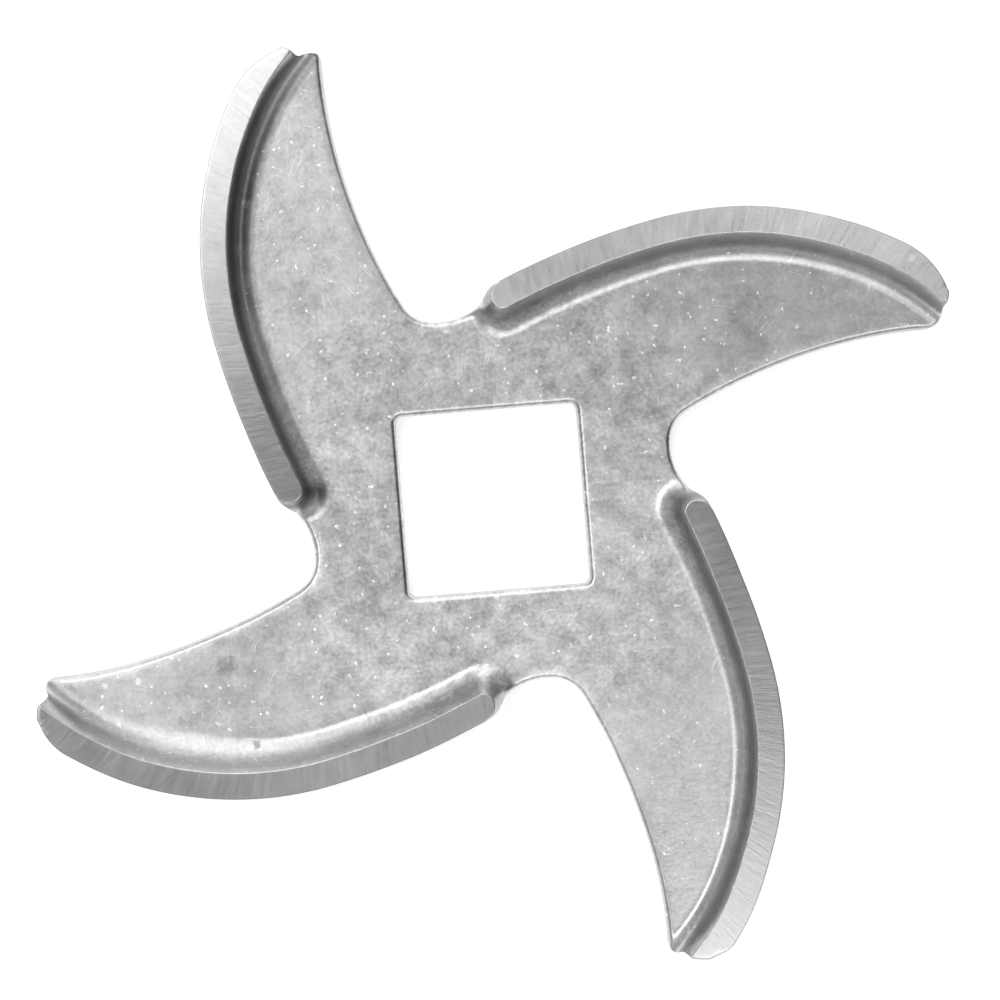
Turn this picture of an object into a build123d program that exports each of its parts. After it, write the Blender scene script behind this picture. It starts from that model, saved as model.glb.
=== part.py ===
from build123d import *

# Meat grinder knife, pressed from one piece of stainless sheet.
#
# The hub and the four swept arms lie flat. Along each arm's leading edge the sheet is
# drawn up into a leaning wall, and the four walls are ground flat on top, which makes
# the cutting bands. The square hole takes the square of the feed screw. Seen from the
# cutting side, the knife turns anticlockwise.
#
# The origin is on the axis at the underside, +Z points to the cutting side, and the
# sides of the square lie along X and Y.

import os
from math import cos, radians, sqrt, tan

# ---------------------------------------------------------------------------
# Driving dimensions, in millimetres and degrees
# ---------------------------------------------------------------------------
arms = 4
knife_diameter = 47.0  # circle that the arm tips are turned to
knife_height = 3.25  # underside to cutting plane
sheet = 1.2  # thickness of the sheet
arm_turn = -4.7  # first arm's own axis, measured from +X
arm_length = 21.2  # axis to an arm's squared-off end

# Drawn walls
wall_draft = 16.0  # lean of a wall from upright
bend_radius = 0.9  # inside the bend between floor and wall

# Square hole
drive_square = 8.6
drive_corner_radius = 0.35
roll_radius = 0.25  # rounding that the punch leaves round the entry side

# Leading edge at the cutting plane, for an arm that lies along +X: two tangent arcs
crest_along = 12.0  # furthest-out point of the tip arc, along the arm
crest_out = 13.75  # and its distance from the arm's axis
tip_arc_radius = 16.3
root_arc_radius = 37.5
arc_joint_along = 7.4  # where the two arcs meet, along the arm
edge_start_back = 0.17  # how far behind the knife's axis the leading edge starts

# Root of a wall, where it turns away from the leading edge
root_corner_along = 0.17
root_corner_radius = 0.7
rim_corner_radius = 0.3  # the same corner on the outer side
side_angle = 20.0  # the turned-away wall, measured from square to the arm

# Trailing edge, notch and the rising edge that joins the hub to the next wall
heel_out = 8.07  # from an arm's axis to its trailing corner
trailing_radius = 25.0
hub_half_width = 8.4
notch_radius = 1.72
notch_back = 2.815  # how far behind the knife's axis the notch's centre lies
shoulder_radius = 3.3
shoulder_turn = 42.0
dip_radius = 1.0
crown_radius = 1.2
edge_break = 0.2  # bevel along the upper side of those edges

# Corners of an arm's end
heel_radius = 0.55
nose_radius = 2.28

# ---------------------------------------------------------------------------
# Values worked out from them
# ---------------------------------------------------------------------------
pitch = 360 / arms
wall_lean = tan(radians(wall_draft))
band_width = sheet / cos(radians(wall_draft))
pocket_depth = knife_height - sheet
knife_radius = knife_diameter / 2

pan_end = arm_length + sheet  # how far the walls run on before an arm's end is cut
side_run = knife_radius / 4  # how far a turned-away wall runs on into the gap
clear = knife_radius + sheet  # just outside the blank

tip_centre = Vector(crest_along, crest_out - tip_arc_radius)


def point_on_arc(centre, radius, along):
    """The outward side of a circle at this distance along the arm."""
    return Vector(along, centre.Y + sqrt(radius**2 - (along - centre.X) ** 2))


def circles_meet(centre_a, radius_a, centre_b, radius_b):
    """The crossing of two circles on the right, looking from the first to the second."""
    between = centre_b - centre_a
    apart = between.length
    run = (apart**2 + radius_a**2 - radius_b**2) / (2 * apart)
    rise = sqrt(radius_a**2 - run**2)
    along = between.normalized()
    return centre_a + along * run + along.rotate(Axis.Z, -90) * rise


arc_joint = point_on_arc(tip_centre, tip_arc_radius, arc_joint_along)
root_centre = arc_joint + (tip_centre - arc_joint).normalized() * root_arc_radius

# The turned-away wall, seen in plan
root_corner = point_on_arc(root_centre, root_arc_radius - band_width, root_corner_along)
side_direction = Vector(0, 1).rotate(Axis.Z, side_angle)
side_inward = side_direction.rotate(Axis.Z, 90)


def on_every_arm(shapes, point):
    """Those of the shapes that lie nearest to this point of each arm."""
    turns = [arm_turn + index * pitch for index in range(arms)]
    return [shapes.sort_by_distance(point.rotate(Axis.Z, turn))[0] for turn in turns]


def draw_pan(depth, inset, corner_radius, fold_radius):
    """Pan drawn down from the cutting plane, with its lower edges folded round.

    At the top it is set in from the leading edges by the inset. Only its stretches along
    the leading edges and round their roots become walls: the sides between them lie in
    the gaps that are blanked out later. Its outline runs clockwise round each arm, which
    makes the tapered extrusion go down from the sketch.
    """
    root_arc = root_arc_radius - inset
    tip_arc = tip_arc_radius - inset

    # Where the turned-away wall crosses the root arc
    side_start = root_corner + side_inward * (inset - band_width)
    from_centre = side_start - root_centre
    back = from_centre.dot(side_direction)
    step = -back + sqrt(back**2 - from_centre.dot(from_centre) + root_arc**2)
    root = side_start + side_direction * step

    joint = tip_centre + (arc_joint - tip_centre).normalized() * tip_arc
    end = point_on_arc(tip_centre, tip_arc, pan_end)
    next_root = root.rotate(Axis.Z, -pitch)
    side_end = next_root + side_direction.rotate(Axis.Z, -pitch) * side_run

    with BuildSketch(Plane.XY.offset(knife_height)) as outline:
        with BuildLine():
            RadiusArc(root, joint, root_arc)
            RadiusArc(joint, end, tip_arc)
            Polyline(end, (pan_end, side_end.Y), side_end, next_root, (0, 0), root)
        arm_share = make_face(mode=Mode.PRIVATE)
        with PolarLocations(0, arms, start_angle=arm_turn):
            add(arm_share)
        fillet(on_every_arm(outline.vertices(), root), corner_radius)

    with BuildPart(mode=Mode.PRIVATE) as pan:
        extrude(outline.sketch, amount=depth, taper=wall_draft)
        # The fold follows on from the tip arcs round the whole of each wall
        lower_arcs = pan.faces().sort_by(Axis.Z)[0].edges().filter_by(GeomType.CIRCLE)
        fillet(lower_arcs.sort_by(SortBy.LENGTH)[-arms:], fold_radius)
    return pan.part


# ---------------------------------------------------------------------------
# Gap between an arm's leading edge and the trailing edge of the arm ahead
# ---------------------------------------------------------------------------
heel = Vector(arm_length, heel_out)
heel_ahead = heel.rotate(Axis.Z, pitch)
notch_centre = Vector(-notch_back, hub_half_width + notch_radius)
trailing_centre = circles_meet(
    notch_centre, trailing_radius - notch_radius, heel_ahead, trailing_radius
)
notch_bottom = notch_centre - Vector(0, notch_radius)
notch_end = trailing_centre + (notch_centre - trailing_centre).normalized() * trailing_radius

crown = point_on_arc(root_centre, root_arc_radius, -edge_start_back)
leading_far = point_on_arc(tip_centre, tip_arc_radius, clear)
trailing_back = sqrt(trailing_radius**2 - (clear - trailing_centre.Y) ** 2)
trailing_far = Vector(trailing_centre.X - trailing_back, clear)

with BuildSketch() as gap:
    with BuildLine():
        shoulder = JernArc(notch_bottom, (1, 0), shoulder_radius, shoulder_turn)
        dip = shoulder @ 1
        Line(dip, crown)
        RadiusArc(crown, arc_joint, root_arc_radius)
        RadiusArc(arc_joint, leading_far, tip_arc_radius)
        Polyline(leading_far, (clear, clear), trailing_far)
        RadiusArc(trailing_far, notch_end, -trailing_radius)
        RadiusArc(notch_end, notch_bottom, -notch_radius)
    make_face()
    fillet(gap.vertices().sort_by_distance(crown)[0], crown_radius)
    fillet(gap.vertices().sort_by_distance(dip)[0], dip_radius)

# ---------------------------------------------------------------------------
# Blank: the knife's outline in plan
# ---------------------------------------------------------------------------
# The nose is where the leading edge runs out to the turned circle, or to the arm's end
# where that comes first. Its rounding leaves room for the heel's on a narrow end.
end_corner = point_on_arc(tip_centre, tip_arc_radius, arm_length)
nose = circles_meet(tip_centre, tip_arc_radius, Vector(0, 0), knife_radius)
if end_corner.length < knife_radius:
    nose = end_corner
nose_rounding = min(nose_radius, (end_corner - heel).length - heel_radius)

with BuildSketch() as blank:
    Circle(knife_radius)
    with PolarLocations(0, arms, start_angle=arm_turn):
        add(gap.sketch, mode=Mode.SUBTRACT)
    with PolarLocations(arm_length, arms, start_angle=arm_turn):
        Rectangle(
            knife_radius,
            knife_diameter,
            align=(Align.MIN, Align.CENTER),
            mode=Mode.SUBTRACT,
        )
    fillet(on_every_arm(blank.vertices(), heel), heel_radius)
    fillet(on_every_arm(blank.vertices(), nose), nose_rounding)

# ---------------------------------------------------------------------------
# Knife
# ---------------------------------------------------------------------------
outside = draw_pan(knife_height, 0, rim_corner_radius, bend_radius + sheet)
pocket = draw_pan(pocket_depth, band_width, root_corner_radius, bend_radius)

with BuildSketch() as drive:
    Rectangle(drive_square, drive_square)
    fillet(drive.vertices(), drive_corner_radius)

with BuildPart() as knife:
    add(outside)
    add(pocket, mode=Mode.SUBTRACT)
    extrude(blank.sketch, amount=knife_height, mode=Mode.INTERSECT)
    extrude(drive.sketch, amount=sheet, mode=Mode.SUBTRACT)
    floor = knife.faces().filter_by(Axis.Z).group_by(Axis.Z)[1][0]
    fillet(floor.inner_wires()[0].edges(), roll_radius)
    # The bevel follows on from each notch along the trailing edge and the shoulder
    floor = knife.faces().filter_by(Axis.Z).group_by(Axis.Z)[1][0]
    chamfer(on_every_arm(floor.outer_wire().edges(), notch_bottom), edge_break)

knife.part.label = "knife"

os.makedirs("parts", exist_ok=True)
export_step(knife.part, "parts/knife.step")
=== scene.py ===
from math import atan2, ceil, cos, hypot, pi, radians, sin, sqrt, tan

import bpy
import numpy as np
from mathutils import Matrix, Vector
from mathutils.geometry import delaunay_2d_cdt


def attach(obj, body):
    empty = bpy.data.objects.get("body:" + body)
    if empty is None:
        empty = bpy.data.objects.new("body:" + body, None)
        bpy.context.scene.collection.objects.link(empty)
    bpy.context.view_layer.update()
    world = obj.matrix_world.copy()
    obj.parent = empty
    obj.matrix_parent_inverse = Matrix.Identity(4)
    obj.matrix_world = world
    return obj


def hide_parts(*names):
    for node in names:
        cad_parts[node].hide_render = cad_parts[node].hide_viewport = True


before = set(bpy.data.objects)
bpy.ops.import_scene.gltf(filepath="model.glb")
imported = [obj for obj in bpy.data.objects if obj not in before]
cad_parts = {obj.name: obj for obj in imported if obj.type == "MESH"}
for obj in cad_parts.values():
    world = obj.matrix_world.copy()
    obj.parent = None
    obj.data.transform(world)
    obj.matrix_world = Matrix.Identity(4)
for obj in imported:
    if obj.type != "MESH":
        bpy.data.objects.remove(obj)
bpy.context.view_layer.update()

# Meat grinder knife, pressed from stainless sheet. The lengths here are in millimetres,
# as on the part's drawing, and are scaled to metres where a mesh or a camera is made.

MM = 0.001

# ---------------------------------------------------------------------------
# The part's drawing
# ---------------------------------------------------------------------------
ARMS = 4
KNIFE_RADIUS = 23.5
KNIFE_HEIGHT = 3.25
SHEET = 1.2
ARM_TURN = radians(-4.7)
WALL_DRAFT = radians(16)
BEND_RADIUS = 0.9
DRIVE_SQUARE = 8.6
DRIVE_CORNER_RADIUS = 0.35

TIP_CENTRE = np.array((12.0, -2.55))
TIP_ARC_RADIUS = 16.3
ROOT_ARC_RADIUS = 37.5
ARC_JOINT_ALONG = 7.4
EDGE_START_ALONG = -0.17

ROOT_CORNER_ALONG = 0.17
SIDE_ANGLE = radians(20)

TRAILING_RADIUS = 25.0
TRAILING_CENTRE = np.array((22.5, -16.9))
HUB_HALF_WIDTH = 8.4
NOTCH_RADIUS = 1.72
SHOULDER_RADIUS = 3.3
SHOULDER_TURN = radians(42)
DIP_RADIUS = 1.0
CROWN_RADIUS = 1.2

PITCH = 2 * pi / ARMS

# ---------------------------------------------------------------------------
# How the pressed knife departs from its drawing
# ---------------------------------------------------------------------------
RIGHT, TOP, LEFT, BOTTOM = range(ARMS)  # the arms as the photograph shows them

# How much further out than drawn the top of each wall has sprung, at stations along it
SPRING_STATIONS = (0, 4, 11, 16, 20)
WALL_SPRING = {
    RIGHT: (0.05, 0.03, -0.02, -0.10, -0.08),
    TOP: (-0.06, -0.12, -0.17, -0.16, -0.14),
    LEFT: (0.02, 0.09, 0.13, 0.13, 0.06),
    BOTTOM: (0.00, -0.10, -0.15, -0.15, 0.00),
}

# Each arm's end: the circle it is turned to, its length and the rounding of its corners
TURNED_RADIUS = {RIGHT: 23.4, TOP: 23.3, LEFT: 23.45, BOTTOM: 23.65}
END_ALONG = {RIGHT: 21.24, TOP: 21.12, LEFT: 21.17, BOTTOM: 21.38}
NOSE_RADIUS = {RIGHT: 4.0, TOP: 4.2, LEFT: 2.8, BOTTOM: 1.2}
HEEL_RADIUS = {RIGHT: 0.8, TOP: 0.25, LEFT: 0.2, BOTTOM: 0.25}

# How far each end is set back where the wall bends, over the depth from the edge
SET_BACK_DEPTHS = (0.9, 1.15, 1.45, 1.75, 2.2)
SET_BACK = {
    RIGHT: (0.0, 0.03, 0.16, 0.09, 0.03),
    TOP: (0.0, 0.10, 0.33, 0.14, 0.05),
    LEFT: (0.0, 0.05, 0.36, 0.17, 0.14),
    BOTTOM: (0.0, 0.05, 0.20, 0.00, 0.16),
}

# How much narrower than drawn each arm's tip is on its trailing side
TRAILING_IN = {RIGHT: 0.10, TOP: 0.09, LEFT: 0.38, BOTTOM: 0.30}

# The bend of the left arm's wall widens towards its tip
WIDE_BEND_STATIONS = (10, 14)
WIDE_BEND = {RIGHT: 0.9, TOP: 0.9, LEFT: 1.35, BOTTOM: 0.9}

PUNCH_ROLL = 0.25  # rounding that the blanking punch leaves on the upper edge
GROUND_ROLL = 0.035  # rounding of the ground band's sharp outer edge
HEEL_ROLL = 0.16  # rounding at an arm's heel
END_ROLL = 0.07  # rounding of an arm's end
LIP = 0.06  # radius of the band's inner edge


# ---------------------------------------------------------------------------
# Plane geometry
# ---------------------------------------------------------------------------
def point(x, y):
    return np.array((x, y), dtype=float)


def unit(vector):
    return vector / hypot(vector[0], vector[1])


def turned(points, angle):
    c, s = cos(angle), sin(angle)
    return np.asarray(points) @ np.array(((c, s), (-s, c)))


def on_arc(centre, radius, along):
    """The outward side of a circle at this distance along the arm."""
    return point(along, centre[1] + sqrt(radius**2 - (along - centre[0]) ** 2))


def circles_meet(centre_a, radius_a, centre_b, radius_b, near):
    """The crossing of two circles that lies nearer to a place."""
    between = centre_b - centre_a
    apart = hypot(*between)
    run = (apart**2 + radius_a**2 - radius_b**2) / (2 * apart)
    rise = sqrt(radius_a**2 - run**2)
    along = between / apart
    across = point(-along[1], along[0])
    crossings = [centre_a + along * run + across * side * rise for side in (1, -1)]
    return min(crossings, key=lambda place: hypot(*(place - near)))


def line_meets_circle(start, direction, centre, radius, near):
    """The crossing of a line and a circle that lies nearer to a place."""
    from_centre = start - centre
    back = from_centre @ direction
    root = sqrt(back**2 - from_centre @ from_centre + radius**2)
    crossings = [start + direction * (-back + side * root) for side in (1, -1)]
    return min(crossings, key=lambda place: hypot(*(place - near)))


def arc(centre, start, end, turn, step):
    """Places on an arc from start up to, but without, its end."""
    radius = hypot(*(start - centre))
    first = atan2(*(start - centre)[::-1])
    last = atan2(*(end - centre)[::-1])
    sweep = (last - first) * turn % (2 * pi) * turn
    count = max(2, ceil(abs(sweep) * radius / step))
    angles = first + sweep * np.arange(count) / count
    return centre + radius * np.stack((np.cos(angles), np.sin(angles)), axis=1)


def straight(start, end, step):
    """Places on a line from start up to, but without, its end."""
    count = max(1, ceil(hypot(*(end - start)) / step))
    return start + (end - start) * (np.arange(count) / count)[:, None]


# ---------------------------------------------------------------------------
# One arm, drawn as it lies along +X
# ---------------------------------------------------------------------------
class Arm:
    """The plan of one arm and of the gap ahead of it."""

    def __init__(self, index):
        self.turn = ARM_TURN + index * PITCH
        self.heel_radius = HEEL_RADIUS[index]
        self.nose_radius = NOSE_RADIUS[index]
        self.end_along = END_ALONG[index]
        self.turned_radius = TURNED_RADIUS[index]
        self.band = SHEET / cos(WALL_DRAFT)
        self.tip_radius = TIP_ARC_RADIUS
        self.root_radius = ROOT_ARC_RADIUS
        self.joint = on_arc(TIP_CENTRE, self.tip_radius, ARC_JOINT_ALONG)
        self.joint_direction = unit(self.joint - TIP_CENTRE)
        self.root_centre = self.joint - self.joint_direction * self.root_radius

        # The inner edge of the band turns away from the leading edge along this line
        self.side_start = on_arc(self.root_centre, self.root_radius - self.band, ROOT_CORNER_ALONG)
        self.side_along = point(-sin(SIDE_ANGLE), cos(SIDE_ANGLE))
        self.side_away = point(-cos(SIDE_ANGLE), -sin(SIDE_ANGLE))

    def in_own_axes(self, points):
        return turned(points, -self.turn)

    def from_edge(self, own):
        """Distance in from the leading edge, and distance along it from the joint."""
        to_tip = own - TIP_CENTRE
        to_root = own - self.root_centre
        across = to_tip[:, 0] * self.joint_direction[1] - to_tip[:, 1] * self.joint_direction[0]
        at_tip = across > 0
        tip_away = np.hypot(to_tip[:, 0], to_tip[:, 1])
        root_away = np.hypot(to_root[:, 0], to_root[:, 1])
        depth = np.where(at_tip, self.tip_radius - tip_away, self.root_radius - root_away)
        start = atan2(self.joint_direction[1], self.joint_direction[0])
        tip_angle = start - np.arctan2(to_tip[:, 1], to_tip[:, 0])
        root_angle = start - np.arctan2(to_root[:, 1], to_root[:, 0])
        along = np.where(at_tip, tip_angle * self.tip_radius, root_angle * self.root_radius)
        outward = np.where(
            at_tip[:, None], to_tip / tip_away[:, None], to_root / root_away[:, None]
        )
        return depth, along, outward

    def from_side(self, own):
        """Distance past the line on which the wall turns away at its root."""
        return (own - self.side_start) @ self.side_away

    def from_band(self, own):
        """Distance from the inner edge of the band, negative on the band.

        At its root the band ends in a half-round, where the wall turns away.
        """
        depth, side = self.from_edge(own)[0], self.from_side(own)
        half = self.band / 2
        rounded = np.hypot(depth - half, np.maximum(side + half, 0)) - half
        return np.where(side > -half, rounded, depth - self.band)

    def row(self, distance, step):
        """Places at one distance from the band's inner edge, from the tip round the root."""
        tip_radius = self.tip_radius - self.band - distance
        far = TIP_CENTRE + tip_radius * point(cos(radians(35)), sin(radians(35)))
        joint = TIP_CENTRE + self.joint_direction * tip_radius
        half = self.band / 2

        def root_place(inward, side):
            line = self.side_start + self.side_away * side
            radius = self.root_radius - half - inward
            return line_meets_circle(line, self.side_along, self.root_centre, radius, line)

        reach = half + distance
        turn_from = root_place(reach, -half)
        places = [arc(TIP_CENTRE, far, joint, 1, step)]
        places.append(arc(self.root_centre, joint, turn_from, 1, step))
        if reach > 0:
            count = max(8, ceil(reach * pi / min(step, 0.12)))
            for k in range(count + 1):
                angle = pi * k / count
                places.append([root_place(reach * cos(angle), -half + reach * sin(angle))])
        return np.concatenate(places)

    def straight_row(self, distance, step):
        """Places at one distance inside the outer side of a wall, past its sharp root corner."""
        tip_radius = self.tip_radius - distance
        far = TIP_CENTRE + tip_radius * point(cos(radians(35)), sin(radians(35)))
        joint = TIP_CENTRE + self.joint_direction * tip_radius
        line = self.side_start + self.side_away * (distance - self.band)
        corner = line_meets_circle(
            line, self.side_along, self.root_centre, self.root_radius - distance, line
        )
        places = [arc(TIP_CENTRE, far, joint, 1, step)]
        places.append(arc(self.root_centre, joint, corner, 1, step))
        places.append(straight(corner, corner + self.side_along * 3, step))
        return np.concatenate(places)

    def outline(self):
        """The blank's edge from this arm's trailing edge to the notch ahead of it.

        Gives the places, the rounding of the upper edge at each, and whether it is an
        edge that grinding has sharpened.
        """
        notch_out = HUB_HALF_WIDTH + NOTCH_RADIUS
        next_trailing = turned(TRAILING_CENTRE, PITCH)
        notch_run = sqrt((TRAILING_RADIUS - NOTCH_RADIUS) ** 2 - (next_trailing[1] - notch_out) ** 2)
        notch_centre = point(next_trailing[0] - notch_run, notch_out)
        notch_bottom = notch_centre - point(0, NOTCH_RADIUS)
        notch_end = next_trailing + unit(notch_centre - next_trailing) * TRAILING_RADIUS

        # Heel and end
        end_x = self.end_along
        heel_near = on_arc(TRAILING_CENTRE, TRAILING_RADIUS, end_x)
        heel_centre = line_meets_circle(
            point(end_x - self.heel_radius, 0),
            point(0, 1),
            TRAILING_CENTRE,
            TRAILING_RADIUS + self.heel_radius,
            heel_near,
        )
        heel_start = TRAILING_CENTRE + unit(heel_centre - TRAILING_CENTRE) * TRAILING_RADIUS
        heel_end = heel_centre + point(self.heel_radius, 0)
        end_top = point(end_x, sqrt(self.turned_radius**2 - end_x**2))

        # Nose
        nose_near = circles_meet(point(0, 0), self.turned_radius, TIP_CENTRE, self.tip_radius, end_top)
        nose_centre = circles_meet(
            point(0, 0),
            self.turned_radius - self.nose_radius,
            TIP_CENTRE,
            self.tip_radius - self.nose_radius,
            nose_near,
        )
        nose_start = unit(nose_centre) * self.turned_radius
        nose_end = TIP_CENTRE + unit(nose_centre - TIP_CENTRE) * self.tip_radius

        # Crown, dip and shoulder
        crown = on_arc(self.root_centre, self.root_radius, EDGE_START_ALONG)
        shoulder_centre = notch_bottom + point(0, SHOULDER_RADIUS)
        dip = shoulder_centre + SHOULDER_RADIUS * point(sin(SHOULDER_TURN), -cos(SHOULDER_TURN))
        rise = unit(crown - dip)
        into_metal = point(rise[1], -rise[0])
        crown_centre = line_meets_circle(
            dip + into_metal * CROWN_RADIUS, rise, self.root_centre, self.root_radius - CROWN_RADIUS, crown
        )
        crown_start = self.root_centre + unit(crown_centre - self.root_centre) * self.root_radius
        crown_end = crown_centre - into_metal * CROWN_RADIUS
        dip_centre = line_meets_circle(
            dip - into_metal * DIP_RADIUS, rise, shoulder_centre, SHOULDER_RADIUS - DIP_RADIUS, dip
        )
        dip_start = dip_centre + into_metal * DIP_RADIUS
        dip_end = shoulder_centre + unit(dip_centre - shoulder_centre) * SHOULDER_RADIUS

        trailing_start = turned(notch_end, -PITCH)
        stretches = (
            (arc(TRAILING_CENTRE, trailing_start, heel_start, -1, 0.18), PUNCH_ROLL),
            (arc(heel_centre, heel_start, heel_end, 1, 0.06), HEEL_ROLL),
            (straight(heel_end, end_top, 0.035), END_ROLL),
            (arc(point(0, 0), end_top, nose_start, 1, 0.05), END_ROLL),
            (arc(nose_centre, nose_start, nose_end, 1, 0.05), GROUND_ROLL),
            (arc(TIP_CENTRE, nose_end, self.joint, 1, 0.14), GROUND_ROLL),
            (arc(self.root_centre, self.joint, crown_start, 1, 0.14), GROUND_ROLL),
            (arc(crown_centre, crown_start, crown_end, 1, 0.04), GROUND_ROLL),
            (straight(crown_end, dip_start, 0.04), GROUND_ROLL),
            (arc(dip_centre, dip_start, dip_end, -1, 0.06), PUNCH_ROLL),
            (arc(shoulder_centre, dip_end, notch_bottom, -1, 0.1), PUNCH_ROLL),
            (arc(notch_centre, notch_bottom, notch_end, -1, 0.1), PUNCH_ROLL),
        )
        places = np.concatenate([places for places, roll in stretches])
        rolls = np.concatenate([np.full(len(places), roll) for places, roll in stretches])
        return turned(places, self.turn), rolls


arms = [Arm(index) for index in range(ARMS)]


# ---------------------------------------------------------------------------
# Heights of the pressed sheet
# ---------------------------------------------------------------------------
def eased(at, stations, values):
    """Values between stations, with a level start and end to each stretch."""
    place = np.interp(at, stations, np.arange(len(stations)))
    whole = np.floor(place).astype(int).clip(0, len(stations) - 2)
    share = (1 - np.cos((place - whole) * pi)) / 2
    values = np.asarray(values)
    return values[whole] + (values[whole + 1] - values[whole]) * share


def wall_profile(distance, top, floor, bend, lip):
    """Height over a distance in from the upper edge of a wall that a bend joins to a floor."""
    bend_start, bend_reach = bend_marks(top, floor, bend)
    lip_start, lip_end = lip_marks(lip)
    on_lip = top - lip + np.sqrt(np.maximum(lip**2 - (distance - lip_start) ** 2, 0))
    on_wall = top - distance / tan(WALL_DRAFT)
    on_bend = floor + bend - np.sqrt(np.maximum(bend**2 - (bend_reach - distance) ** 2, 0))
    return np.select(
        [distance < lip_start, distance < lip_end, distance < bend_start, distance < bend_reach],
        [top, on_lip, on_wall, on_bend],
        floor,
    )


def lip_marks(lip):
    """Where the rounding of a wall's upper edge starts and ends."""
    start = -lip * tan((pi / 2 - WALL_DRAFT) / 2)
    return start, start + lip * cos(WALL_DRAFT)


def bend_marks(top, floor, bend):
    """Where the bend of a wall starts and ends."""
    reach = bend * (1 / cos(WALL_DRAFT) - tan(WALL_DRAFT)) + (top - floor) * tan(WALL_DRAFT)
    return reach - bend * cos(WALL_DRAFT), reach


def upper_height(points):
    height = np.full(len(points), SHEET)
    for index, arm in enumerate(arms):
        own = arm.in_own_axes(points)
        bend = eased(own[:, 0], WIDE_BEND_STATIONS, (BEND_RADIUS, WIDE_BEND[index]))
        profile = wall_profile(arm.from_band(own), KNIFE_HEIGHT, SHEET, bend, LIP)
        height = np.maximum(height, profile)
    return height


UNDERCUT = 0.015  # keeps the underside clear of the rounded rim of a band
RIM = 0.001  # the outer side of a wall meets the band in a sharp edge


def lower_height(points):
    height = np.zeros(len(points))
    for arm in arms:
        own = arm.in_own_axes(points)
        depth = arm.from_edge(own)[0]
        side = arm.from_side(own) + arm.band
        distance = np.maximum(depth, side) + UNDERCUT
        height = np.maximum(
            height, wall_profile(distance, KNIFE_HEIGHT, 0, BEND_RADIUS + SHEET, RIM)
        )
    return height


# ---------------------------------------------------------------------------
# Mesh
# ---------------------------------------------------------------------------
def square_hole():
    """Edge of the drive hole, clockwise, so that the metal is on its left."""
    half = DRIVE_SQUARE / 2
    inner = half - DRIVE_CORNER_RADIUS
    places = []
    for quarter in range(4):
        corner = point(inner, inner)
        start, end = point(inner, half), point(half, inner)
        stretch = [straight(point(-inner, half), start, 0.15), arc(corner, start, end, -1, 0.05)]
        places.append(turned(np.concatenate(stretch), -quarter * pi / 2))
    return np.concatenate(places)


def left_of(loop):
    """Unit normals to the left of a closed run of places."""
    ahead = np.roll(loop, -1, axis=0) - loop
    ahead /= np.hypot(ahead[:, 0], ahead[:, 1])[:, None]
    mean = ahead + np.roll(ahead, 1, axis=0)
    mean /= np.hypot(mean[:, 0], mean[:, 1])[:, None]
    return np.stack((-mean[:, 1], mean[:, 0]), axis=1)


def smoothed(values, passes):
    for _ in range(passes):
        values = (np.roll(values, 1) + 2 * values + np.roll(values, -1)) / 4
    return values


def inside(points, loops):
    """Whether each place is on the metal."""
    result = np.zeros(len(points), dtype=bool)
    x, y = points[:, 0], points[:, 1]
    for loop in loops:
        ahead = np.roll(loop, -1, axis=0)
        for (x0, y0), (x1, y1) in zip(loop, ahead):
            if y0 != y1:
                crosses = (y0 > y) != (y1 > y)
                result ^= crosses & (x < x0 + (y - y0) * (x1 - x0) / (y1 - y0))
    return result


def away_from_edge(points):
    """Distance of each place from the blank's edge, and the rounding of the edge there."""
    nearest = np.full(len(points), 1e9)
    rolls = np.zeros(len(points))
    for loop, roll in LOOPS:
        for places, roll_there in zip(np.array_split(loop, 40), np.array_split(roll, 40)):
            offsets = points[:, None, :] - places[None, :, :]
            squares = (offsets**2).sum(axis=2)
            best = squares.argmin(axis=1)
            closest = squares[np.arange(len(points)), best]
            nearer = closest < nearest
            nearest[nearer] = closest[nearer]
            rolls[nearer] = roll_there[best[nearer]]
    return np.sqrt(nearest), rolls


outer_places, outer_rolls = zip(*[arm.outline() for arm in arms])
outer = np.concatenate(outer_places)
outer_roll = smoothed(np.concatenate(outer_rolls), 6)
hole = square_hole()
hole_roll = np.full(len(hole), PUNCH_ROLL)
LOOPS = ((outer, outer_roll), (hole, hole_roll))


class Layer:
    """Places in plan with their heights, and the lines that triangles keep to."""

    def __init__(self):
        self.places = []
        self.heights = []
        self.lines = []
        self.count = 0

    def add(self, places, heights, kept=None, closed=False):
        """Adds a row of places, with a line wherever two that follow each other are kept."""
        number = np.arange(len(places))
        kept = np.ones(len(places), dtype=bool) if kept is None else kept
        after = np.roll(number, -1)
        pairs = [
            (a, b) for a, b in zip(number, after) if kept[a] and kept[b] and (closed or b > a)
        ]
        new_number = np.cumsum(kept) - 1 + self.count
        self.lines += [(int(new_number[a]), int(new_number[b])) for a, b in pairs]
        self.places.append(places[kept])
        self.heights.append(heights[kept])
        self.count += int(kept.sum())

    def triangles(self, height):
        places = np.concatenate(self.places)
        heights = np.concatenate(self.heights)
        found = delaunay_2d_cdt([Vector(p) for p in places], self.lines, [], 0, 1e-7)
        verts, _, faces, originals = found[:4]
        plan = np.array([tuple(v) for v in verts])
        source = np.array([first[0] if first else -1 for first in originals])
        new = source < 0
        z = np.where(new, 0.0, heights[source])
        if new.any():
            z[new] = height(plan[new])
        order = np.full(len(places), -1)
        for index, first in enumerate(originals):
            for number in first:
                order[number] = index
        faces = np.array(faces)
        middle = plan[faces].mean(axis=1)
        faces = faces[inside(middle, [loop for loop, roll in LOOPS])]
        return np.column_stack((plan, z)), faces, order


ROLL_ANGLES = [radians(angle) for angle in (90, 62, 38, 18, 0)]


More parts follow.
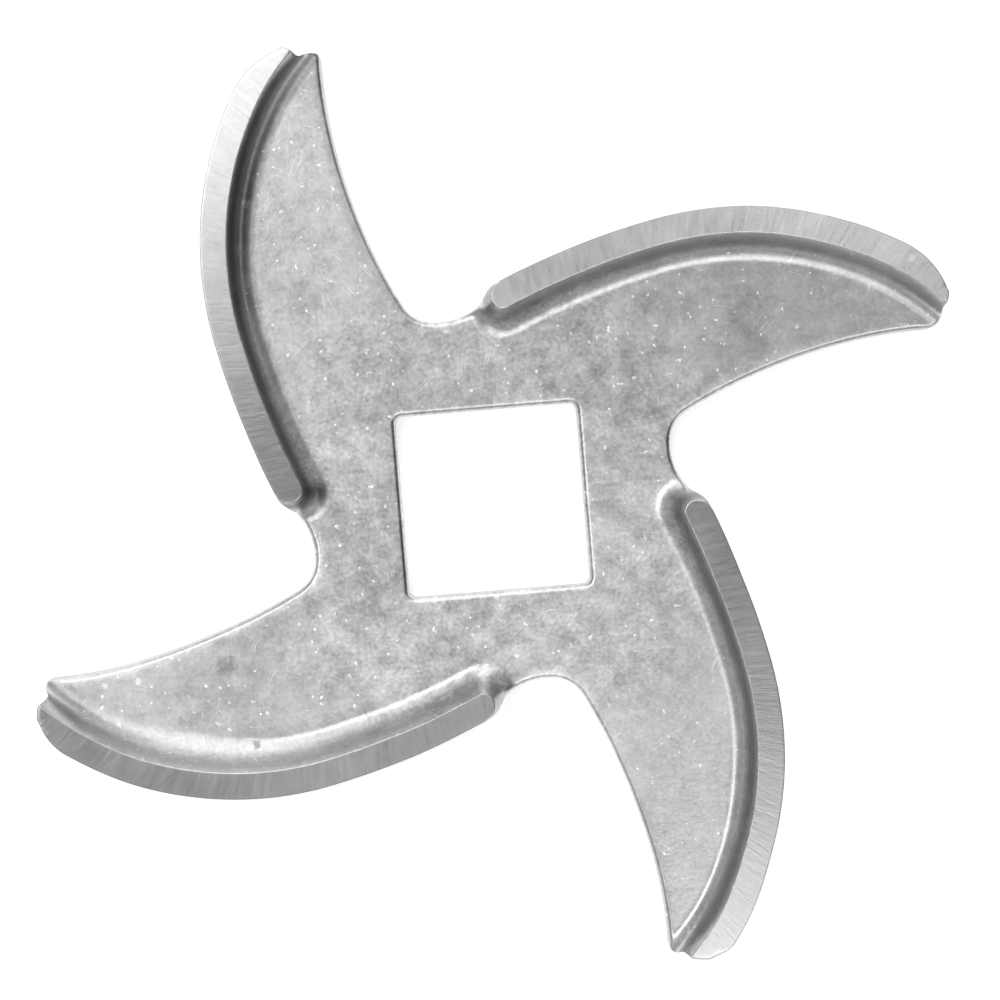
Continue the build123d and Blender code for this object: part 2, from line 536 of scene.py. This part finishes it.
def edge_rows(layer, height, scale):
    """The rounded edge of the blank, as rows set in from its outline."""
    for loop, roll in LOOPS:
        inward = left_of(loop)
        for angle in ROLL_ANGLES:
            places = loop + inward * (roll * abs(scale) * (1 - sin(angle)))[:, None]
            drop = roll * scale * (1 - cos(angle))
            layer.add(places, height(places) - drop, closed=True)


def clear_of_edge(places, room):
    away, roll = away_from_edge(places)
    return inside(places, [loop for loop, roll_there in LOOPS]) & (away > roll + room)


def open_grid(spacing, seed):
    """Loosely even places all over the blank."""
    random = np.random.default_rng(seed)
    steps = np.arange(-KNIFE_RADIUS - 1, KNIFE_RADIUS + 1, spacing)
    x, y = np.meshgrid(steps, steps)
    x = x + (np.arange(len(steps)) % 2)[:, None] * spacing / 2
    grid = np.stack((x.ravel(), y.ravel()), axis=1)
    return grid + random.uniform(-0.12, 0.12, grid.shape) * spacing


def make_layer(height, roll_scale, rows, spacing, clear, seed):
    layer = Layer()
    edge_rows(layer, height, roll_scale)
    for arm in arms:
        for places in rows(arm):
            places = turned(places, arm.turn)
            layer.add(places, height(places), clear_of_edge(places, clear))
    grid = open_grid(spacing, seed)
    kept = clear_of_edge(grid, clear + 0.1)
    for arm in arms:
        distance = arm.from_band(arm.in_own_axes(grid))
        kept &= (distance > FLAT_FROM + spacing / 2) | (distance < -arm.band + 0.2)
    number = layer.count
    layer.add(grid[kept], height(grid[kept]))
    layer.lines = [pair for pair in layer.lines if max(pair) < number]
    return layer.triangles(height)


FLAT_FROM = 2.8  # distance from a band's inner edge at which the rows end


def upper_rows(arm):
    bend_start, bend_reach = bend_marks(KNIFE_HEIGHT, SHEET, BEND_RADIUS)
    lip_start, lip_end = lip_marks(LIP)
    on_band = [-arm.band + 0.12, -arm.band * 0.75, -arm.band / 2, -arm.band / 4]
    on_lip = [lip_start + LIP * sin(radians(angle)) for angle in (-30, 0, 25, 50)]
    on_wall = [lip_end, bend_start * 0.4, bend_start * 0.7]
    on_bend = [bend_reach - BEND_RADIUS * cos(angle) for angle in np.linspace(WALL_DRAFT, pi / 2, 11)]
    beyond = [bend_reach + extra for extra in (0.12, 0.3, 0.55, 0.9, 1.4)]
    return [arm.row(distance, 0.16) for distance in on_band + on_lip + on_wall + on_bend + beyond]


def lower_rows(arm):
    bend = BEND_RADIUS + SHEET
    bend_start, bend_reach = bend_marks(KNIFE_HEIGHT, 0, bend)
    on_wall = [0.12, 0.25, bend_start - 0.02]
    on_bend = [bend_reach - bend * cos(angle) for angle in np.linspace(WALL_DRAFT, pi / 2, 12)[1:]]
    beyond = [bend_reach + extra for extra in (0.3, 0.8)]
    return [arm.straight_row(distance, 0.3) for distance in on_wall + on_bend + beyond]


upper, upper_faces, upper_order = make_layer(upper_height, 1.0, upper_rows, 0.45, 0.03, 11)
lower, lower_faces, lower_order = make_layer(lower_height, -0.1, lower_rows, 0.6, 0.05, 12)


def curved(at, stations, values):
    """A smooth curve through the values at its stations."""
    stations, values = np.asarray(stations, dtype=float), np.asarray(values, dtype=float)
    at = np.clip(at, stations[0], stations[-1])
    slopes = np.gradient(values, stations)
    k = (np.searchsorted(stations, at) - 1).clip(0, len(stations) - 2)
    run = stations[k + 1] - stations[k]
    t = (at - stations[k]) / run
    start = values[k] * (1 + 2 * t) + slopes[k] * run * t
    end = values[k + 1] * (3 - 2 * t) - slopes[k + 1] * run * (1 - t)
    return start * (1 - t) ** 2 + end * t**2


def nearest_arm(points):
    return np.argmin([arm.from_band(arm.in_own_axes(points)) for arm in arms], axis=0)


def sprung(vertices, base):
    """Leans the walls in or out, the more the higher above their base."""
    result = vertices.copy()
    plan = vertices[:, :2]
    share = ((vertices[:, 2] - base) / (KNIFE_HEIGHT - base)).clip(0, 1)
    owner = nearest_arm(plan)
    for index, arm in enumerate(arms):
        mine = (owner == index) & (share > 0)
        own = arm.in_own_axes(plan[mine])
        outward = turned(arm.from_edge(own)[2], arm.turn)
        amount = eased(own[:, 0], SPRING_STATIONS, WALL_SPRING[index]) * share[mine]
        result[mine, :2] += outward * amount[:, None]
    return result


END_FROM = 18.5  # how far along an arm its end's own shape begins
TRAILING_FROM = 12  # and where its trailing side starts to draw in
TRAILING_ALL = 21.2  # up to where it has drawn in all the way
TRAILING_DEPTHS = (1.4, 2.3)  # depths from the leading edge between which that grows


def with_own_ends(vertices, drawn):
    """Sets each arm's end back at the bend and draws its trailing side in."""
    result = vertices.copy()
    plan = drawn[:, :2]
    owner = nearest_arm(plan)
    for index, arm in enumerate(arms):
        own = arm.in_own_axes(plan)
        mine = (owner == index) & (own[:, 0] > END_FROM)
        deep = arm.from_edge(own[mine])[0]
        share = ((own[mine, 0] - END_FROM) / (arm.end_along - END_FROM)).clip(0, 1) ** 2
        back = curved(deep, SET_BACK_DEPTHS, SET_BACK[index]) * share
        result[mine, :2] -= back[:, None] * point(cos(arm.turn), sin(arm.turn))
        mine = (owner == index) & (own[:, 0] > TRAILING_FROM)
        deep = arm.from_edge(own[mine])[0]
        share = eased(own[mine, 0], (TRAILING_FROM, TRAILING_ALL, 40), (0, 1, 1))
        share = share * np.interp(deep, TRAILING_DEPTHS, (0, 1))
        inward = point(-sin(arm.turn), cos(arm.turn)) * TRAILING_IN[index]
        result[mine, :2] += share[:, None] * inward
    return result


upper_drawn, lower_drawn = upper, lower
upper = with_own_ends(sprung(upper, SHEET), upper_drawn)
lower = with_own_ends(sprung(lower, 0), lower_drawn)

BAND, SHEET_FACE, CUT_EDGE, UNDERSIDE = range(4)


def knife_mesh():
    vertices = np.concatenate((upper, lower)) * MM
    faces = [tuple(face) for face in upper_faces.tolist()]
    kinds = []
    middle = upper_drawn[upper_faces].mean(axis=1)[:, :2]
    distance = np.min([arm.from_band(arm.in_own_axes(middle)) for arm in arms], axis=0)
    kinds += [BAND if value < lip_marks(LIP)[0] else SHEET_FACE for value in distance]
    offset = len(upper)
    faces += [tuple(offset + k for k in face[::-1]) for face in lower_faces.tolist()]
    kinds += [UNDERSIDE] * len(lower_faces)
    first = 0
    for loop, roll in LOOPS:
        count = len(loop)
        for k in range(count):
            a, b = first + k, first + (k + 1) % count
            faces.append(
                (
                    int(upper_order[b]),
                    int(upper_order[a]),
                    offset + int(lower_order[a]),
                    offset + int(lower_order[b]),
                )
            )
            kinds.append(CUT_EDGE)
        first += count * len(ROLL_ANGLES)
    mesh = bpy.data.meshes.new("pressed_knife")
    mesh.from_pydata(vertices.tolist(), [], faces)
    mesh.update()
    return mesh, kinds


mesh, kinds = knife_mesh()


def set_attribute(name, kind, values):
    attribute = mesh.attributes.new(name, kind, "POINT")
    field = "vector" if kind == "FLOAT_VECTOR" else "value"
    attribute.data.foreach_set(field, np.asarray(values, dtype=np.float32).ravel())


def measure_walls(plan):
    """Distance along and in from the leading edge, and the way across it."""
    owner = nearest_arm(plan)
    along, depth = np.zeros(len(plan)), np.zeros(len(plan))
    across = np.zeros((len(plan), 3))
    for index, arm in enumerate(arms):
        mine = owner == index
        deep, far, outward = arm.from_edge(arm.in_own_axes(plan[mine]))
        depth[mine], along[mine] = deep, far + 40 * index
        across[mine, :2] = turned(outward, arm.turn)
    return along, depth, across


# Painted light and shade on each band: how much its colour is lightened or darkened at its root and at its
# tip
BAND_ENDS = (4, 19)
BAND_PAINTED_LIGHT_SHADE = {RIGHT: (0.9, 1.28), TOP: (0.8, 1.32), LEFT: (0.52, 0.86), BOTTOM: (1.12, 0.96)}

# Painted shade on each wall, as the share by which its colour is darkened, and painted light on each arm's
# flat, as the share by which it is lightened
WALL_PAINTED_SHADE = {RIGHT: 0.4, TOP: 0.75, LEFT: 0.3, BOTTOM: 0.6}
FLAT_PAINTED_LIGHT = {RIGHT: 0.0, TOP: 0.04, LEFT: 0.14, BOTTOM: 0.05}
BEND_PAINTED_HIGHLIGHT = 0.05  # painted highlight: how much lighter the colour is made at the foot of every bend


# Painted shade on the walls and painted light on the bends and flats, as a share taken off the colour
def painted_light_and_shade(plan):
    owner = nearest_arm(plan)
    distance = np.min([arm.from_band(arm.in_own_axes(plan)) for arm in arms], axis=0)
    on_wall = eased(distance, (-0.02, 0.06, 0.20, 0.55, 50), (0, 1, 1, 0, 0))
    on_bend = eased(distance, (0.20, 0.55, 1.25, 1.8, 50), (0, 1, 1, 0, 0))
    on_flat = eased(distance, (1.25, 1.8, 50), (0, 1, 1))
    painted_shading = np.array([WALL_PAINTED_SHADE[index] for index in range(ARMS)])[owner]
    bright = np.array([FLAT_PAINTED_LIGHT[index] for index in range(ARMS)])[owner]
    return on_wall * painted_shading - on_bend * BEND_PAINTED_HIGHLIGHT - on_flat * bright


# Painted light and shade for each band, eased from its root to its tip
def painted_band_light_shade(plan):
    owner = nearest_arm(plan)
    band_light_shade = np.ones(len(plan))
    for index, arm in enumerate(arms):
        mine = owner == index
        own = arm.in_own_axes(plan[mine])
        band_light_shade[mine] = np.interp(own[:, 0], BAND_ENDS, BAND_PAINTED_LIGHT_SHADE[index])
    return band_light_shade


plan = np.concatenate((upper_drawn, lower_drawn))[:, :2]
along, depth, across = measure_walls(plan)
set_attribute("along", "FLOAT", along)
set_attribute("depth", "FLOAT", depth)
set_attribute("across", "FLOAT_VECTOR", across)
# painted light and shade of the bands, stored for the band material
set_attribute("band_light_shade", "FLOAT", painted_band_light_shade(plan))
set_attribute("rim", "FLOAT", away_from_edge(plan)[0])
# painted shade on the walls and painted light on the bends and flats, stored for the sheet material
set_attribute("painted_shading", "FLOAT", painted_light_and_shade(plan))
knife = bpy.data.objects.new("pressed_knife", mesh)
bpy.context.scene.collection.objects.link(knife)
mesh.polygons.foreach_set("use_smooth", [True] * len(mesh.polygons))
mesh.set_sharp_from_angle(angle=radians(30))


# ---------------------------------------------------------------------------
# Materials
# ---------------------------------------------------------------------------
class Nodes:
    """Short ways to place and join the nodes of one tree."""

    def __init__(self, tree):
        self.tree = tree

    def put(self, socket, value):
        if isinstance(value, bpy.types.NodeSocket):
            self.tree.links.new(value, socket)
        else:
            socket.default_value = value

    def new(self, kind, **settings):
        node = self.tree.nodes.new("ShaderNode" + kind)
        for name, value in settings.items():
            setattr(node, name, value)
        return node

    def math(self, operation, first, second=0.0, third=0.0):
        node = self.new("Math", operation=operation)
        for socket, value in zip(node.inputs, (first, second, third)):
            self.put(socket, value)
        return node.outputs[0]

    def add(self, *values):
        total = values[0]
        for value in values[1:]:
            total = self.math("ADD", total, value)
        return total

    def times(self, first, second):
        return self.math("MULTIPLY", first, second)

    def vector(self, operation, first, second=(0.0, 0.0, 0.0)):
        node = self.new("VectorMath", operation=operation)
        self.put(node.inputs[0], first)
        self.put(node.inputs[1], second)
        return node.outputs["Value" if operation in ("DOT_PRODUCT", "DISTANCE") else "Vector"]

    def between(self, value, low, high, to_low=0.0, to_high=1.0):
        """A smooth step from one value to another as the input goes from low to high."""
        node = self.new("MapRange", interpolation_type="SMOOTHSTEP")
        for socket, setting in zip(node.inputs, (value, low, high, to_low, to_high)):
            self.put(socket, setting)
        return node.outputs["Result"]

    def noise(self, where, scale, detail=2.0, rough=0.5, distortion=0.0):
        """Noise between about -1 and 1, with its size in features to the millimetre."""
        node = self.new("TexNoise", noise_dimensions="3D")
        self.put(node.inputs["Vector"], where)
        for name, value in (
            ("Scale", scale), ("Detail", detail), ("Roughness", rough), ("Distortion", distortion)
        ):
            self.put(node.inputs[name], value)
        return self.math("MULTIPLY_ADD", node.outputs["Fac"], 4.0, -2.0)

    def cells(self, where, scale, feature="F1"):
        node = self.new("TexVoronoi", feature=feature)
        self.put(node.inputs["Vector"], where)
        self.put(node.inputs["Scale"], scale)
        return node.outputs["Distance"], node.outputs["Color"]

    def attribute(self, name, output="Fac"):
        node = self.new("Attribute", attribute_name=name)
        return node.outputs[output]

    def joined(self, x, y, z=0.0):
        node = self.new("CombineXYZ")
        for socket, value in zip(node.inputs, (x, y, z)):
            self.put(socket, value)
        return node.outputs[0]

    def grey(self, value):
        return self.joined(value, value, value)

    def millimetres(self):
        coordinates = self.new("TexCoord")
        return self.vector("MULTIPLY", coordinates.outputs["Object"], (1000.0, 1000.0, 1000.0))

    def bump(self, height, depth):
        """Relief of a height that runs from 0 to 1, over a depth in millimetres."""
        node = self.new("Bump")
        self.put(node.inputs["Height"], height)
        self.put(node.inputs["Distance"], depth * MM)
        return node.outputs[0]


def metal(name):
    """A metal's shader and its nodes."""
    material = bpy.data.materials.new(name)
    material.use_nodes = True
    shader = material.node_tree.nodes["Principled BSDF"]
    shader.inputs["Metallic"].default_value = 1
    mesh.materials.append(material)
    return Nodes(material.node_tree), shader.inputs


def scratches(n, where, cell, width, share):
    """Short straight scratches, each in its own cell and direction."""
    distance, colour = n.cells(where, 1 / cell)
    parts = n.new("SeparateColor")
    n.put(parts.inputs[0], colour)
    rotate = n.new("VectorRotate", rotation_type="Z_AXIS")
    n.put(rotate.inputs["Vector"], where)
    n.put(rotate.inputs["Angle"], n.times(parts.outputs[0], 2 * pi))
    split = n.new("SeparateXYZ")
    n.put(split.inputs[0], rotate.outputs[0])
    stretched = n.joined(n.times(split.outputs[0], 0.35 / cell), n.times(split.outputs[1], 1 / width))
    line = n.between(n.noise(stretched, 1.0, 0.0), 0.85, 1.25)
    chosen = n.math("LESS_THAN", parts.outputs[1], share)
    inside_cell = n.between(distance, 0.55, 0.25)
    return n.times(n.times(line, chosen), inside_cell)


# Chips and spots: the place in the photograph's own directions, the radius in
# millimetres, and how much brighter the metal is there
# Painted light and shade among them: the brighter tone at the chips is a painted glint, and the darker
# tone at -11.14, -11.54 is painted shade in a pit.
SHEET_CHIPS = (
    (-16.76, -8.56, 0.16, 0.4),
    (-18.34, -8.75, 0.14, 0.4),
    (-12.57, -7.81, 0.55, -0.16),
    (-11.14, -11.54, 0.21, -0.25),
    (-11.6, 14.0, 0.22, 0.35),
    (0.2, -4.55, 0.14, 0.4),
    (-7.6, -6.5, 0.7, 0.08),
)
BAND_CHIPS = (
    (19.45, 11.30, 0.17, 0.4),
    (20.98, 10.05, 0.09, -0.2),
)


def chips(n, where, places):
    """The change of tone at single chips and spots."""
    total = 0.0
    flat = n.vector("MULTIPLY", where, (1.0, 1.0, 0.0))
    uneven = n.times(n.noise(flat, 4.0, 1.0), 0.08)
    for across, up, radius, change in places:
        x, y = turned((across, up), ARM_TURN)
        away = n.add(n.vector("DISTANCE", flat, (x, y, 0.0)), n.times(uneven, radius * 4))
        total = n.add(total, n.between(away, radius * 0.5, radius * 1.2, change, 0.0))
    return total


def rolled_sheet():
    """The upper side: cloudy, with speckles and scratches, and coarser on the hub."""
    n, shader = metal("rolled_sheet")
    where = n.millimetres()
    cloud = n.noise(where, 0.22, 3.0, 0.55)
    patch = n.noise(where, 1.3, 3.0, 0.6)
    speckle = n.noise(where, 5.0, 1.0, 0.6)
    nicks = n.between(n.noise(n.vector("ADD", where, (9.0, 4.0, 2.0)), 3.4, 1.0), 0.75, 1.1)
    marks = n.add(
        scratches(n, where, 1.6, 0.06, 0.5),
        scratches(n, n.vector("ADD", where, (31.0, 17.0, 0.0)), 0.9, 0.05, 0.5),
    )
    from_axis = n.vector("DISTANCE", n.vector("MULTIPLY", where, (1.0, 1.0, 0.0)), (0.0, 0.0, 0.0))
    hub = n.between(n.add(from_axis, n.times(cloud, 1.5)), 9.0, 13.5, 1.0, 0.0)
    grain = n.add(0.02, n.times(patch, 0.08), n.times(speckle, 0.055))
    tone = n.add(0.59, n.times(patch, 0.07), n.times(speckle, 0.065), n.times(cloud, 0.05))
    tone = n.add(tone, n.times(grain, hub), n.times(marks, 0.4), n.times(nicks, 0.35))
    tone = n.add(tone, chips(n, where, SHEET_CHIPS))
    # Painted shade on the walls and painted light on the bends and flats darken and lighten the sheet's
    # colour here
    after_painted_shading = n.math("SUBTRACT", 1.0, n.attribute("painted_shading"))
    n.put(shader["Base Color"], n.grey(n.times(tone, after_painted_shading)))
    rough = n.add(0.35, n.times(cloud, 0.03), n.times(patch, 0.03))
    n.put(shader["Roughness"], rough)
    relief = n.add(0.5, n.times(speckle, 0.06), n.times(patch, 0.1), n.times(nicks, 0.3))
    n.put(shader["Normal"], n.bump(relief, 0.02))


def ground_band():
    """The cutting bands: fine grinding lines across them."""
    n, shader = metal("ground_band")
    where = n.millimetres()
    along, depth = n.attribute("along"), n.attribute("depth")
    across = n.joined(n.add(along, n.times(depth, 0.25)), n.times(depth, 0.12))
    lines = n.noise(across, 5.0, 3.0, 0.7)
    fine = n.noise(where, 6.0, 2.0, 0.6)
    cloud = n.noise(where, 0.5, 2.0)
    tone = n.add(0.65, n.times(lines, 0.05), n.times(fine, 0.03), n.times(cloud, 0.03))
    tone = n.add(tone, n.times(scratches(n, where, 1.1, 0.05, 0.5), 0.2))
    # Painted shade: the band's colour is darkened in a thin line along the blank's edge
    rim = n.between(n.attribute("rim"), 0.02, 0.08, 0.62, 1.0)
    # The band's painted light and shade is multiplied into its colour here
    tone = n.add(n.times(tone, n.times(n.attribute("band_light_shade"), rim)), chips(n, where, BAND_CHIPS))
    n.put(shader["Base Color"], n.grey(tone))
    n.put(shader["Roughness"], n.add(0.3, n.times(lines, 0.03), n.times(cloud, 0.02)))
    shader["Anisotropic"].default_value = 0.7
    n.put(shader["Tangent"], n.attribute("across", "Vector"))
    n.put(shader["Normal"], n.bump(n.add(0.5, n.times(lines, 0.15)), 0.01))


def sheared_edge():
    """The blanked edges: streaks in the direction of the punch."""
    n, shader = metal("sheared_edge")
    where = n.vector("MULTIPLY", n.millimetres(), (1.0, 1.0, 0.12))
    streaks = n.noise(where, 7.0, 3.0, 0.6)
    cloud = n.noise(where, 0.8, 2.0)
    tone = n.add(0.55, n.times(streaks, 0.06), n.times(cloud, 0.03))
    n.put(shader["Base Color"], n.grey(tone))
    n.put(shader["Roughness"], n.add(0.38, n.times(streaks, 0.05)))
    n.put(shader["Normal"], n.bump(n.add(0.5, n.times(streaks, 0.2)), 0.03))


def underside_sheet():
    """The back of the sheet, rubbed by the feed screw's shoulder."""
    n, shader = metal("underside_sheet")
    where = n.millimetres()
    cloud = n.noise(where, 0.25, 3.0)
    speckle = n.noise(where, 4.5, 2.0, 0.6)
    marks = scratches(n, where, 1.8, 0.055, 0.5)
    tone = n.add(0.58, n.times(cloud, 0.03), n.times(speckle, 0.02), n.times(marks, 0.12))
    n.put(shader["Base Color"], n.grey(tone))
    n.put(shader["Roughness"], n.add(0.38, n.times(cloud, 0.04), n.times(speckle, 0.02)))
    n.put(shader["Normal"], n.bump(n.add(0.5, n.times(speckle, 0.15)), 0.02))


ground_band()
rolled_sheet()
sheared_edge()
underside_sheet()
mesh.polygons.foreach_set("material_index", kinds)

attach(knife, "root")
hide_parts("knife")

# ---------------------------------------------------------------------------
# Camera: straight above, a little towards the photograph's top
# ---------------------------------------------------------------------------
PHOTO_SCALE = 0.04642  # millimetres to a pixel at the cutting plane
FRAME_PIXELS = 1000
CAMERA_HEIGHT = 120.0
CAMERA_ACROSS = -0.8
CAMERA_UP = 2.6
AIM_ACROSS = 0.324
AIM_UP = 0.069
SENSOR = 36.0


def photo_place(across, up, height):
    """A place measured along the photograph's own right and up, in metres."""
    x, y = turned(point(across, up), ARM_TURN)
    return Vector((x, y, height)) * MM


camera_data = bpy.data.cameras.new("camera")
camera = bpy.data.objects.new("camera", camera_data)
bpy.context.scene.collection.objects.link(camera)
bpy.context.scene.camera = camera
camera_data.sensor_width = SENSOR
camera_data.lens = CAMERA_HEIGHT / (PHOTO_SCALE * FRAME_PIXELS) * SENSOR
camera_data.clip_start = 0.01
camera_data.clip_end = 10
eye = photo_place(CAMERA_ACROSS, CAMERA_UP, KNIFE_HEIGHT + CAMERA_HEIGHT)
aim = photo_place(AIM_ACROSS, AIM_UP, KNIFE_HEIGHT)
backward = (eye - aim).normalized()
rightward = photo_place(0, 1, 0).normalized().cross(backward).normalized()
upward = backward.cross(rightward)
axes = Matrix((rightward, upward, backward)).transposed().to_4x4()
camera.matrix_world = Matrix.Translation(eye) @ axes

# ---------------------------------------------------------------------------
# Light: a dim room with boxes of light and dark cards, all far away
#
# The room's level, the first four boxes and both cards are the rounded result of a search
# program, which compared test renders with the photograph. The last two boxes were set one by
# one.
# ---------------------------------------------------------------------------
ROOM_LIGHT = 0.42


class Light(Nodes):
    """Light that reaches the knife from the sky's directions."""

    def __init__(self, tree):
        super().__init__(tree)
        coordinates = self.new("TexCoord")
        self.direction = coordinates.outputs["Generated"]
        self.total = ROOM_LIGHT

    def spot(self, azimuth, zenith, width, height):
        """1 inside an oval part of the sky, with a soft edge.

        The azimuth is anticlockwise from the photograph's right and the zenith angle is
        measured from straight above. Width and height are half sizes, as sines.
        """
        a, z = radians(azimuth) + ARM_TURN, radians(zenith)
        centre = (sin(z) * cos(a), sin(z) * sin(a), cos(z))
        level = (-sin(a) / width, cos(a) / width, 0.0)
        upright = (cos(z) * cos(a) / height, cos(z) * sin(a) / height, -sin(z) / height)
        x = self.vector("DOT_PRODUCT", self.direction, level)
        y = self.vector("DOT_PRODUCT", self.direction, upright)
        away = self.math("SQRT", self.add(self.times(x, x), self.times(y, y)))
        front = self.math("GREATER_THAN", self.vector("DOT_PRODUCT", self.direction, centre), 0.0)
        return self.times(self.between(away, 0.5, 1.3, 1.0, 0.0), front)

    def box(self, strength, *place):
        self.total = self.add(self.total, self.times(self.spot(*place), strength))

    def card(self, *place):
        self.total = self.times(self.total, self.between(self.spot(*place), 0.0, 1.0, 1.0, 0.0))


world = bpy.data.worlds.new("world")
bpy.context.scene.world = world
world.use_nodes = True
light = Light(world.node_tree)
light.box(5.6, 158, 21, 0.35, 0.11)
light.box(3.6, 346, 12, 0.41, 0.13)
light.box(1.3, 314, 27, 0.8, 0.2)
light.box(1.4, 95, 61, 0.34, 0.68)
light.box(1.0, 245, 38, 0.2, 0.12)
light.box(0.8, 75, 36, 0.2, 0.12)
light.card(0, 55, 0.38, 0.92)
light.card(98, 0, 0.27, 0.17)
rays = light.new("LightPath")
seen = rays.outputs["Is Camera Ray"]
background = world.node_tree.nodes["Background"]
background.inputs["Color"].default_value = (1.0, 1.0, 1.0, 1.0)
light.put(background.inputs["Strength"], light.between(seen, 0.0, 1.0, light.total, 1.0))

# ---------------------------------------------------------------------------
# White table, which keeps the knife's shadow
# ---------------------------------------------------------------------------
floor_mesh = bpy.data.meshes.new("floor")
side = 600 * MM  # half of the table's width
floor_mesh.from_pydata(
    [(-side, -side, 0), (side, -side, 0), (side, side, 0), (-side, side, 0)], [], [(0, 1, 2, 3)]
)
floor = bpy.data.objects.new("floor", floor_mesh)
bpy.context.scene.collection.objects.link(floor)
floor_material = bpy.data.materials.new("white_table")
floor_material.use_nodes = True
table = Nodes(floor_material.node_tree)
shader = floor_material.node_tree.nodes["Principled BSDF"].inputs
shader["Roughness"].default_value = 0.9
shader["Base Color"].default_value = (0.8, 0.8, 0.8, 1)
rays = table.new("LightPath")
shown = table.math("MAXIMUM", rays.outputs["Is Camera Ray"], rays.outputs["Is Transmission Ray"])
shown = table.math("MAXIMUM", shown, rays.outputs["Is Glossy Ray"])
shader["Emission Color"].default_value = (1.0, 1.0, 1.0, 1.0)
table.put(shader["Emission Strength"], table.times(shown, 0.6))
floor_mesh.materials.append(floor_material)

bpy.context.scene.view_settings.view_transform = "Standard"
